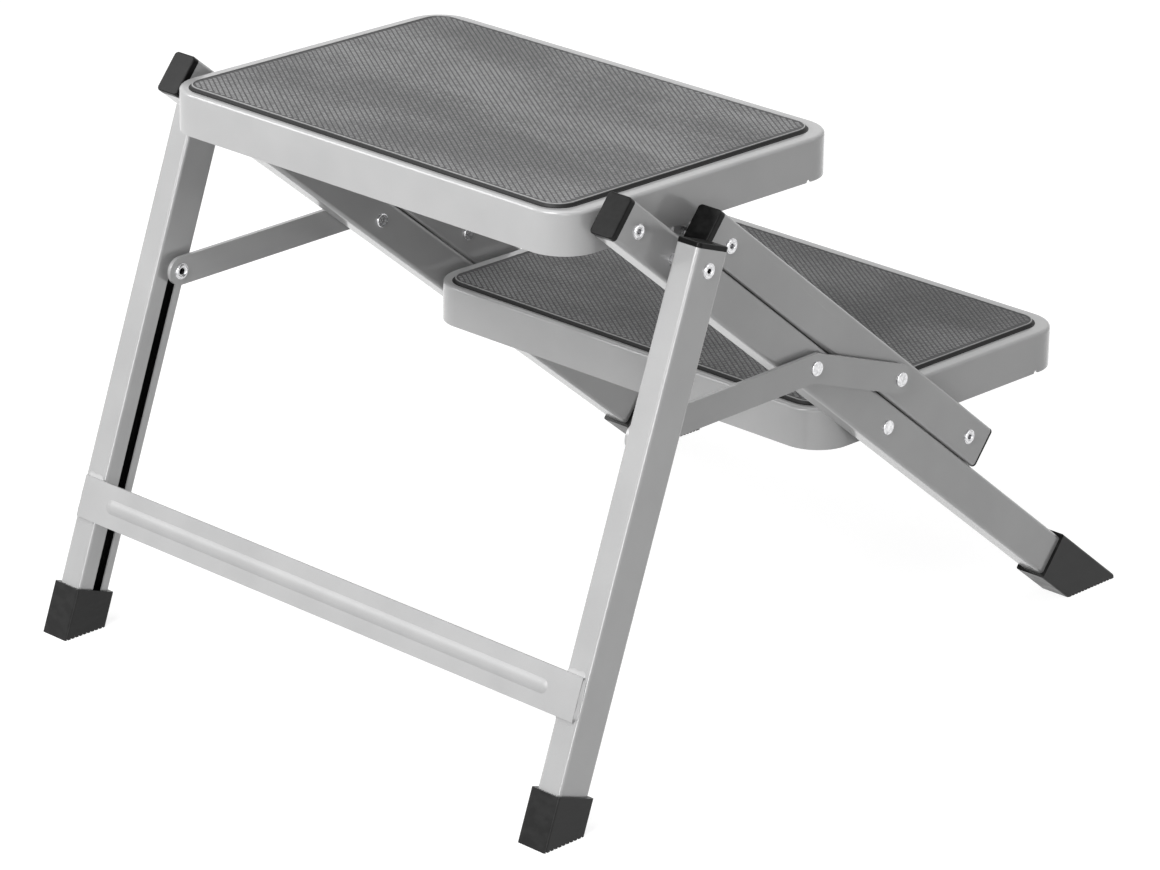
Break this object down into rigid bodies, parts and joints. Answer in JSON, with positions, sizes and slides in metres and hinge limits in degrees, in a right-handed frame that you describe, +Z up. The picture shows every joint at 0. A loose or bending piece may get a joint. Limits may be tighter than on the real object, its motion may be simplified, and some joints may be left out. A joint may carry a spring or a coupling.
{
  "type": "folding double entry step",
  "caption": "Folding steel entry step with two matted treads on parallel side tubes, linked rear legs and rubber feet.",
  "frame": {"origin": "on the floor, under the middle of the opened step's box", "axes": "+X across the step, -Y the way the lower tread faces, +Z up"},
  "size_m": [0.4946, 0.6216, 0.4111],
  "materials": {
    "frame_paint": "silver-grey powder coat, satin",
    "tread_paint": "silver-grey powder coat, satin",
    "mat_rubber": "dark grey rubber with a fine raised texture",
    "cap_plastic": "black moulded plastic",
    "foot_rubber": "black moulded rubber",
    "zinc": "bright zinc plate"
  },
  "bodies": {
    "front_frame": {"front_leg_left": "frame_paint", "front_leg_right": "frame_paint", "front_leg_cap_left": "cap_plastic", "front_leg_cap_right": "cap_plastic", "front_foot_left": "foot_rubber", "front_foot_right": "foot_rubber", "leg_pivot_left": "zinc", "leg_pivot_right": "zinc", "leg_spacers": "zinc", "upper_tread_rivets": "zinc", "lower_tread_rivets": "zinc", "link_leg_rivets": "zinc", "front_leg_washers": "zinc"},
    "upper_tread": {"upper_tray": "tread_paint", "upper_mat": "mat_rubber", "upper_bracket_left": "frame_paint", "upper_bracket_right": "frame_paint"},
    "lower_tread": {"lower_tray": "tread_paint", "lower_mat": "mat_rubber", "lower_bracket_left": "frame_paint", "lower_bracket_right": "frame_paint"},
    "tread_rails": {"tread_rail_left": "frame_paint", "tread_rail_right": "frame_paint", "rail_top_cap_left": "cap_plastic", "rail_top_cap_right": "cap_plastic", "rail_bottom_cap_left": "cap_plastic", "rail_bottom_cap_right": "cap_plastic", "upper_rail_rivets": "zinc", "lower_rail_rivets": "zinc", "link_rail_rivets": "zinc", "rail_washers": "zinc"},
    "fold_links": {"fold_link_left": "frame_paint", "fold_link_right": "frame_paint", "slot_pin_left": "zinc", "slot_pin_right": "zinc"},
    "rear_frame": {"rear_leg_left": "frame_paint", "rear_leg_right": "frame_paint", "rear_leg_cap_left": "cap_plastic", "rear_leg_cap_right": "cap_plastic", "rear_foot_left": "foot_rubber", "rear_foot_right": "foot_rubber", "cross_bar": "frame_paint"}
  },
  "joints": [
    {"name": "fold", "type": "hinge", "parent": "front_frame", "child": "upper_tread", "pos_m": [0, 0.20026, 0.3873], "axis": [-1, 0, 0], "range_deg": [0, 140]},
    {"name": "lower_tread_fold", "type": "hinge", "parent": "front_frame", "child": "lower_tread", "pos_m": [0, -0.05174, 0.18685], "axis": [-1, 0, 0], "range_deg": [0, 140]},
    {"name": "link_fold", "type": "hinge", "parent": "front_frame", "child": "fold_links", "pos_m": [0, 0.03081, 0.25251], "axis": [-1, 0, 0], "range_deg": [0, 140]},
    {"name": "rail_fold", "type": "hinge", "parent": "upper_tread", "child": "tread_rails", "pos_m": [0, 0.11235, 0.3566], "axis": [-1, 0, 0], "range_deg": [-140, 0]},
    {"name": "rear_leg_fold", "type": "hinge", "parent": "front_frame", "child": "rear_frame", "pos_m": [0, 0.16638, 0.36035], "axis": [-1, 0, 0], "range_deg": [0, 70]}
  ],
  "couplings": [
    {"joint": "lower_tread_fold", "follows": "fold", "ratio": 1},
    {"joint": "link_fold", "follows": "fold", "ratio": 1},
    {"joint": "rail_fold", "follows": "fold", "ratio": -1},
    {"joint": "rear_leg_fold", "follows": "fold", "ratio": 0.5}
  ]
}
